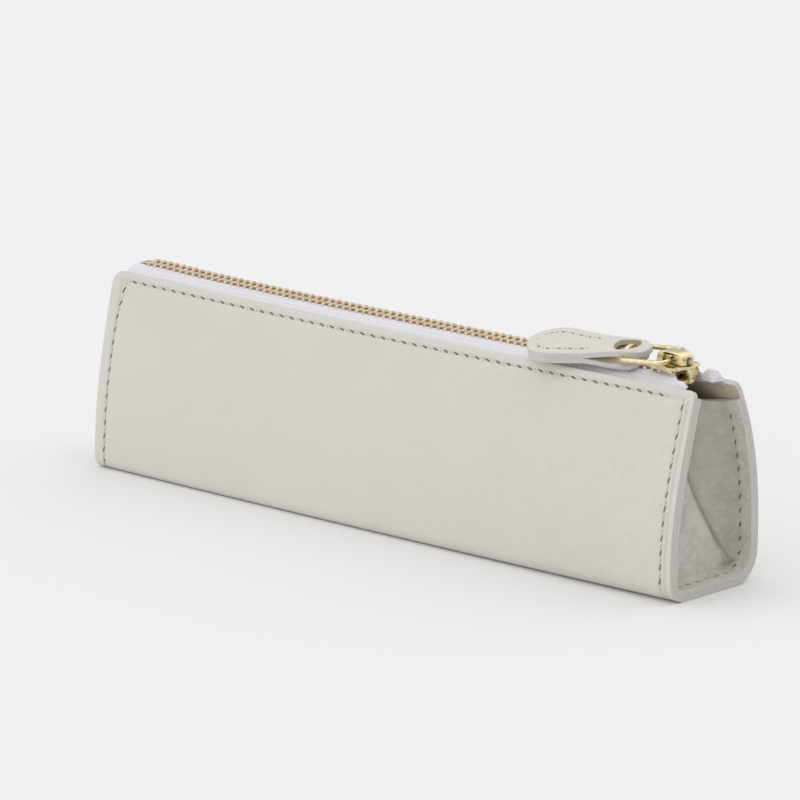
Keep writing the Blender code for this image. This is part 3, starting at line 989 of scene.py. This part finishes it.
def buildStop(name, node, side, stop, look):
    # A folded metal clip, pressed flat over the end of the chain
    low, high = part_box(node)
    corner = 0.35 * mm
    middle = (low.y + high.y) / 2 + side * stop["outward"]
    near, far = middle - stop["half"], middle + stop["half"]
    left, right = low.x + stop["shift"], high.x + stop["shift"]
    outline = [(left, near + corner), (left + corner, near),
               (right - corner, near), (right, near + corner),
               (right, far - corner), (right - corner, far),
               (left + corner, far), (left, far - corner)]
    clip = addSlab(name, outline, low.z - stop["lower"] / 2, high.z - stop["lower"], (look,))
    softenEdges(clip, 0.2 * mm, 3, 30)
    finishPiece(clip, "case", "brass", node)


buildTape("frontTape", -1, "front_zip_tape")
buildTape("backTape", 1, "back_zip_tape")
buildTeeth("frontTeeth", -1, "front_zip_teeth")
buildTeeth("backTeeth", 1, "back_zip_teeth")
buildStop("frontTopStop", "front_top_stop", -1, topStop, chainBed)
buildStop("backTopStop", "back_top_stop", 1, topStop, chainBed)
buildStop("bottomStop", "bottom_stop", 1, bottomStop, toothBrass)
print("zip chain laid")


# Slider: two plates, their side flanges, the post between them, the crown and its spring

slider = inMm(
    plate=0.8, flange=0.7, rearHalf=3.6, noseHalf=5.3, slotHalf=0.55, shoulder=1.6, setback=2.6,
    tongue=1.2, tongueEnd=1.3, underTrim=0.6, post=2.3, sunk=0.2, round=0.22,
)


def sliderHalfWidth(x):
    flare = smooth(x, chain["spreadStart"] - 2 * mm, chain["spreadFull"])
    return slider["rearHalf"] + (slider["noseHalf"] - slider["rearHalf"]) * flare


def sliderOutline(trim=0.0):
    # Straight at the tail, flaring to round shoulders, with a tongue between them at the nose
    tip = sliderHigh.x - slider["tongueEnd"]
    shoulder = slider["shoulder"]
    front = sliderHigh.x - slider["setback"]
    side = [(x, sliderHalfWidth(x) - trim) for x in spaced(sliderLow.x, front - shoulder, 10)]
    side += arc((front - shoulder, side[-1][1] - shoulder), shoulder, 75, 0, 5)
    side += [(front, slider["tongue"] + 1.0 * mm), (front + 0.4 * mm, slider["tongue"] + 0.3 * mm)]
    side += [(tip - 0.4 * mm, slider["tongue"]), (tip, slider["tongue"] - 0.4 * mm)]
    return [(x, -y) for x, y in side] + [(x, y) for x, y in reversed(side)]


def flangeOutline(side, trim=0.0):
    front = sliderHigh.x - slider["setback"] - slider["shoulder"]
    places = spaced(sliderLow.x + 0.1 * mm, front + 0.1 * mm, 8)
    outer = [(x, side * (sliderHalfWidth(x) - trim - 0.02 * mm)) for x in places]
    inner = [(x, side * (sliderHalfWidth(x) - trim - slider["flange"])) for x in reversed(places)]
    return outer + inner


def buildSliderBody():
    top, bottom = sliderHigh.z, sliderLow.z
    trim = slider["underTrim"]
    slabs = [("topPlate", sliderOutline(), top - slider["plate"], top),
             ("bottomPlate", sliderOutline(trim), bottom, bottom + slider["plate"])]
    # The flanges and the post reach a little way into the plates
    top -= slider["sunk"]
    bottom += slider["sunk"]
    slotTop = chain["middle"] + slider["slotHalf"]
    slotBottom = chain["middle"] - slider["slotHalf"]
    for side in (-1, 1):
        slabs.append(("upperFlange", flangeOutline(side), slotTop, top))
        slabs.append(("lowerFlange", flangeOutline(side, trim), bottom, slotBottom))
    tip = sliderHigh.x - slider["tongueEnd"] - 0.1 * mm
    back = tip - slider["post"]
    half = slider["tongue"] - 0.05 * mm
    post = [(back, 0), (back + 0.9 * mm, -half), (tip, -half), (tip, half), (back + 0.9 * mm, half)]
    slabs.append(("post", post, bottom, top))
    parts = []
    for name, outline, low, high in slabs:
        part = addSlab(name, outline, low, high, (platedGold,))
        softenEdges(part, slider["round"], 3, 35)
        parts.append(part)
    finishPiece(joinAll("sliderBody", parts), "slider", "gold_plate", "slider_body")


crown = inMm(
    width=4.4, foot=2.1, window=3.6, windowRadius=0.9, roof=0.8, noseRadius=2.0, noseBack=0.6,
    tailRadius=2.3, pin=0.6, pinSeat=1.0, pinHeight=0.85, pressed=0.55, sunk=0.25, round=0.5,
)
upright = Matrix.Rotation(math.pi / 2, 4, "X")


def buildCrown():
    low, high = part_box("slider_crown")
    length = high.x - low.x - crown["noseBack"]
    height = high.z - low.z + crown["sunk"] - crown["pressed"]
    foot = crown["foot"]
    windowEnd = foot + crown["window"]
    inner = height - crown["roof"]
    nose, tail, bend = crown["noseRadius"], crown["tailRadius"], crown["windowRadius"]
    outline = [(length, 0)]
    outline += arc((length - nose, height - nose), nose, 0, 90, 6)
    outline += arc((tail, height - tail), tail, 90, 180, 8)
    outline += [(0, 0), (foot, 0)]
    outline += arc((foot + bend, inner - bend), bend, 180, 90, 4)
    outline += arc((windowEnd - bend, inner - bend), bend, 90, 0, 4)
    outline += [(windowEnd, 0)]
    arch = addSlab("crownArch", outline, -crown["width"] / 2, crown["width"] / 2, (platedGold,))
    settle(arch, Matrix.Translation((low.x, 0, low.z - crown["sunk"])) @ upright)
    softenEdges(arch, crown["round"], 4, 35)
    parts = [arch]
    # The spring's pin shows on the nose side, as a small domed head in a dark seat
    face = Matrix.Translation((low.x + length, 0, low.z + crown["pinHeight"]))
    face = face @ Matrix.Rotation(math.pi / 2, 4, "Y")
    for name, radius, reach, look in (("pinSeat", crown["pinSeat"], 0.25 * mm, chainBed),
                                      ("pinHead", crown["pin"], 0.6 * mm, springSteel)):
        head = addSlab(name, arc((0, 0), radius, 0, 345, 23), -0.3 * mm, reach, (look,))
        settle(head, face)
        softenEdges(head, 0.15 * mm, 3, 35)
        parts.append(head)
    finishPiece(joinAll("sliderCrown", parts), "slider", "gold_plate", "slider_crown")


def buildSpring():
    low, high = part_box("slider_lock_spring")
    # Up from its foot, along under the crown to its free end, and back over the top
    outline = [(low.x, low.z), (low.x + 0.25 * mm, low.z),
               (low.x + 0.35 * mm, high.z - 0.4 * mm), (low.x + 0.7 * mm, high.z - 0.25 * mm),
               (high.x, high.z - 0.1 * mm), (high.x, high.z + 0.15 * mm),
               (low.x + 0.5 * mm, high.z), (low.x + 0.1 * mm, high.z - 0.35 * mm)]
    leaf = addSlab("lockSpring", outline, low.y, high.y, (springSteel,))
    settle(leaf, upright)
    softenEdges(leaf, 0.05 * mm, 2, 35)
    finishPiece(leaf, "slider", "spring_steel", "slider_lock_spring")


buildSliderBody()
buildCrown()
buildSpring()
print("slider cast")


# Pull: a wire ring and a two-layer leather tab, leaning to the front

joints = {joint["name"]: joint for joint in frame["joints"]}
pull = inMm(ringDrop=0.35, wire=1.3, ringLength=13.1, ringWidth=9.8, ringCorner=1.8, ringArch=1.5)
# Turns about X, Y and Z, in degrees
pull.update(ringTurn=(7, -3.0, 8), tabTurn=(12, -2.8, 8))
ringHalf = (pull["ringWidth"] + pull["wire"]) / 2


def placed(seat, turns):
    return Matrix.Translation(seat) @ Euler([math.radians(turn) for turn in turns]).to_matrix().to_4x4()


ringSeat = Vector(joints["pull_ring_swing"]["pos_m"]) - Vector((0, 0, pull["ringDrop"]))
ringPlace = placed(ringSeat, pull["ringTurn"])
tabPlace = placed(joints["pull_tab_swing"]["pos_m"], pull["tabTurn"])


def ringPoint(share):
    # The middle of the wire: a rectangle with round corners, from the crown's bar to the tab's
    r = pull["ringCorner"]
    length = pull["ringLength"]
    side, end = ringHalf - r, length - r
    corners = [(-r, side, 0), (-end, side, 90), (-end, -side, 180), (-r, -side, 270)]
    runs = [length - 2 * r, 2 * side] * 2
    bend = r * math.pi / 2
    distance = share * (sum(runs) + 4 * bend)
    for (cx, cy, start), run in zip(corners, runs):
        if distance < bend:
            angle = math.radians(start) + distance / r
            return Vector((cx + r * math.cos(angle), cy + r * math.sin(angle), 0))
        distance -= bend
        if distance < run:
            angle = math.radians(start + 90)
            point = Vector((cx + r * math.cos(angle), cy + r * math.sin(angle), 0))
            return point + Vector((-math.sin(angle), math.cos(angle), 0)) * distance
        distance -= run
    return Vector((0, side, 0))


def buildRing():
    thin = 0.5
    ring = addShape(bpy.ops.mesh.primitive_torus_add, major_segments=72, minor_segments=14,
                    major_radius=1, minor_radius=thin)
    ring.name = "pullRing"
    radius = pull["wire"] / 2
    near = 0.002
    for vertex in ring.data.vertices:
        share = (math.atan2(vertex.co.y, vertex.co.x) / (2 * math.pi)) % 1
        run = (ringPoint((share + near) % 1) - ringPoint((share - near) % 1)).normalized()
        outward = Vector((run.y, -run.x, 0))
        away = (Vector((vertex.co.x, vertex.co.y)).length - 1) / thin
        place = ringPoint(share)
        # The bar in the tab arches up a little
        inTab = smooth(-place.x, pull["ringLength"] - 1.5 * mm, pull["ringLength"])
        place.z += pull["ringArch"] * inTab * max(1 - (place.y / (ringHalf - pull["ringCorner"])) ** 2, 0)
        vertex.co = place + outward * away * radius + Vector((0, 0, vertex.co.z / thin * radius))
    wear(ring, (platedGold,))
    ring.matrix_world = ringPlace
    finishPiece(ring, "ring", "gold_plate", "pull_ring")


tab = inMm(
    bulb=7.2, neck=4.4, reach=22.4, end=0.6, lowerCut=1.2, leather=1.4, edge=0.35,
    hole=3.4, holeBack=1.2, seamInset=2.4, seamEnd=-10.5, seamPitch=3.0, seamWidth=0.8,
    thread=(1.7, 0.45), needleHole=(1.4, 0.6),
    tipBend=0.9, lift=0.7, liftStart=-13, liftEnd=-3, drop=0.1, nearDrop=1.1,
    barDrop=0.4, barWidth=2.2, skiveWidth=1.6, droop=1.15, dip=0.16, ripple=0.08, rippleLength=5,
)
# How far the far side is pressed together again, and how much of the lower layer is pared away
tab.update(farPress=0.8, skive=0.3)


def tabHalf(x, inset=0.0, cut=0.0):
    # Half the tab's width: a round bulb, sides that ease in, a round neck
    end = tab["end"] - cut
    bulb = tab["bulb"] - inset
    neck = tab["neck"] - inset
    bulbX = -tab["reach"] + bulb * math.cos(math.radians(75))
    bulbY = bulb * math.sin(math.radians(75))
    if x < bulbX:
        return leg(bulb, x + tab["reach"])
    if x > end:
        return leg(neck, x - end)
    share = (end - x) / (end - bulbX)
    return neck + (bulbY - neck) * share ** 2


def tabHeight(x, y, side):
    # The outer face of a layer: the layers part to let the ring's bar through, and the seam pulls them in
    part = smooth(x, tab["liftStart"], tab["liftEnd"])
    total = tab["leather"] - 0.01 * mm
    if side > 0:
        total += part * tab["lift"] * (1 - tab["farPress"] * smooth(y, 1.5 * mm, 4 * mm))
    else:
        total += part * (tab["drop"] + tab["nearDrop"] * smooth(-y, 0.5 * mm, 4 * mm))
        total += tab["barDrop"] * bell(min(x, 0), tab["barWidth"])
    margin = tabHalf(x) - abs(y)
    if x < -tab["reach"]:
        margin = tab["bulb"] - math.hypot(x + tab["reach"], y)
    seam = bell(margin - tab["seamInset"], tab["seamWidth"])
    total -= tab["dip"] * seam * smooth(-x, -tab["seamEnd"], 14 * mm)
    if side > 0:
        total -= tab["tipBend"] * smooth(x, 0.5 * mm, 5 * mm)
    # The near side hangs, most of all beside the neck
    near = clamp(-y / tab["bulb"], 0, 1.1)
    droop = tab["droop"] * near ** 1.4 * smooth(-x, -5 * mm, 7 * mm)
    droop *= 1 - 0.55 * smooth(-x, 12 * mm, 25 * mm)
    uneven = tab["ripple"] * noise.noise(Vector((x, y, 0)) / tab["rippleLength"])
    return side * total + uneven - droop


def tabOutline(count, cut):
    # Points evenly round the tab's edge, from the tip of its neck
    low = -tab["reach"] - tab["bulb"]
    high = tab["end"] - cut + tab["neck"]
    fine = []
    steps = 800
    for i in range(steps + 1):
        x = (low + high) / 2 + (high - low) / 2 * math.cos(math.pi * i / steps)
        fine.append(Vector((x, tabHalf(x, 0, cut) if 0 < i < steps else 0, 0)))
    lengths = [0.0]
    for a, b in zip(fine, fine[1:]):
        lengths.append(lengths[-1] + (b - a).length)
    points = []
    spot = 0
    for i in range(count // 2 + 1):
        wanted = lengths[-1] * i / (count // 2)
        while spot < steps - 1 and lengths[spot + 1] < wanted:
            spot += 1
        share = (wanted - lengths[spot]) / (lengths[spot + 1] - lengths[spot])
        points.append(fine[spot].lerp(fine[spot + 1], share))
    return points + [Vector((p.x, -p.y, 0)) for p in points[-2:0:-1]]


def buildTabLayer(name, side, node, holed):
    count = 144
    outline = tabOutline(count, 0 if holed else tab["lowerCut"])
    thick = tab["leather"]
    edge = tab["edge"]
    holeMiddle = Vector((-tab["holeBack"], 0, 0))
    # Each station is a share of the way out, a distance from that place, and a depth below the outer face
    top = [(share / 16, 0, 0) for share in range(1, 16)]
    rounding = [(1, -edge, 0), (1, -0.3 * edge, 0.12 * edge), (1, 0, 0.4 * edge), (1, 0, edge),
                (1, 0, thick)]
    under = [(share / 6, 0, thick) for share in range(5, 0, -1)]
    first, last = [(0, 0, 0)], [(0, 0, thick)]
    if holed:
        # The hole's edge is rounded, and its wall joins the two faces
        first = [(0, 0, edge), (0, 0.3 * edge, 0.3 * edge), (0, edge, 0)]
        last = [(0, 0, thick), (0, 0, edge)]
    stations = first + top + rounding + under + last

    def shape(u, v):
        turn = round(u * count) % count
        share, shift, depth = stations[round(v * (len(stations) - 1))]
        outer = outline[turn]
        angle = 2 * math.pi * turn / count
        inner = Vector((-11 * mm, 0, 0))
        if holed:
            inner = holeMiddle + Vector((math.cos(angle), math.sin(angle), 0)) * tab["hole"]
        way = (outer - inner).normalized()
        point = inner + (outer - inner) * share + way * shift
        if not holed:
            # The lower layer is pared thin where the ring's bar lies on it
            depth *= 1 - tab["skive"] * bell(point.x, tab["skiveWidth"])
        return Vector((point.x, point.y, tabHeight(point.x, point.y, side) - side * depth))

    layer = addSheet(name, count, len(stations) - 1, shape, (tabLeather, fleshSide, cutEdge))
    mergeDoubles(layer)
    turnFacesOut(layer)
    for polygon in layer.data.polygons:
        place = polygon.center
        depth = abs(tabHeight(place.x, place.y, side) - place.z)
        inHole = holed and (place - holeMiddle).xy.length < tab["hole"] + 0.05 * mm
        if depth > thick - 0.08 * mm or inHole:
            polygon.material_index = 1
        elif depth > 0.4 * edge:
            polygon.material_index = 2
    layer.matrix_world = tabPlace
    finishPiece(layer, "tab", "ivory_leather", node, angle=50)


def tabSeamPath(side):
    # Round the bulb from the near side of the neck to the far side
    inset = tab["seamInset"]
    low = -tab["reach"] - tab["bulb"] + inset
    points = []
    steps = 60
    for i in range(2 * steps + 1):
        angle = math.pi * i / (2 * steps)
        x = tab["seamEnd"] - (tab["seamEnd"] - low) * math.sin(angle)
        y = tabHalf(x, inset) * (-1 if i < steps else 1)
        if i == steps:
            y = 0
        place = Vector((x, y, tabHeight(x, y, side)))
        points.append((tabPlace @ place, tabPlace.to_3x3() @ Vector((0, 0, side))))
    return points


buildRing()
buildTabLayer("tabTopLayer", 1, "pull_tab_top", True)
buildTabLayer("tabBottomLayer", -1, "pull_tab_bottom", False)
sewSeam("tab", "tab", "pull_tab_thread", [tabSeamPath(-1), tabSeamPath(1)], tab["seamPitch"],
        tab["thread"], tab["needleHole"])
print("pull hung")


# Studio: pale floor, soft light from above, front and back, camera at the photograph's angle

studio = dict(
    azimuth=math.radians(42.91),
    elevation=math.radians(13.60),
    distance=1468 * mm,
    target=Vector((-4.73, 0, 31.03)) * mm,
    lens=259.9,
    floor=srgb(239, 239, 239),
    floorDark=srgb(232, 232, 232),
    sky=0.06,
    # White cloths: the way to each, and how bright it is
    cloths=(((0, 0, 1), 1.03), ((0, 1, 1), 0.27), ((0, -1, 0.15), 0.70), ((0, 1, 0.15), 0.58),
            ((-0.7, -0.7, 0.15), 0.60), ((0.7, 0.7, 0.15), 0.18)),
    keyPower=0.37,
    keyPlace=Vector((-1.0, -0.9, 1.5)),
    keySize=1.4,
)


def lightTent(tree):
    # White cloth above, in front and behind, and little light from the two ends
    sky = Nodes(tree, "Generated")
    strength = studio["sky"]
    for way, brightness in studio["cloths"]:
        toward = sky.vector("DOT_PRODUCT", sky.place, Vector(way).normalized(), out="Value")
        facing = toward.math("MAXIMUM", 0)
        strength = strength + facing * facing * brightness
    background = tree.nodes["Background"]
    background.inputs["Color"].default_value = (1, 1, 1, 1)
    sky.feed(background.inputs["Strength"], strength)


def buildStudio():
    floor = addShape(bpy.ops.mesh.primitive_plane_add, size=8)
    floor.name = "studioFloor"
    look = Shader("paleFloor", 0.9, Specular_IOR_Level=0.1)
    tone = look.mix(look.noise(0.4, 1.0) * 0.02, studio["floor"], studio["floorDark"])
    look.feed(look.surface.inputs["Base Color"], tone)
    wear(floor, (look.material,))

    world = bpy.data.worlds.new("studioWorld")
    bpy.context.scene.world = world
    world.use_nodes = True
    lightTent(world.node_tree)

    key = addShape(bpy.ops.object.light_add, type="AREA", location=studio["keyPlace"])
    key.name = "keyLight"
    key.data.energy = studio["keyPower"]
    key.data.size = studio["keySize"]
    key.rotation_euler = (studio["target"] - studio["keyPlace"]).to_track_quat("-Z", "Y").to_euler()

    azimuth, elevation = studio["azimuth"], studio["elevation"]
    back = Vector((math.sin(azimuth) * math.cos(elevation), -math.cos(azimuth) * math.cos(elevation),
                   math.sin(elevation)))
    camera = addShape(bpy.ops.object.camera_add, location=studio["target"] + back * studio["distance"])
    camera.rotation_euler = (-back).to_track_quat("-Z", "Y").to_euler()
    camera.data.lens = studio["lens"]
    camera.data.sensor_width = 36
    camera.data.clip_end = 20
    bpy.context.scene.camera = camera
    bpy.context.scene.view_settings.view_transform = "Standard"


buildStudio()
print("studio lit")
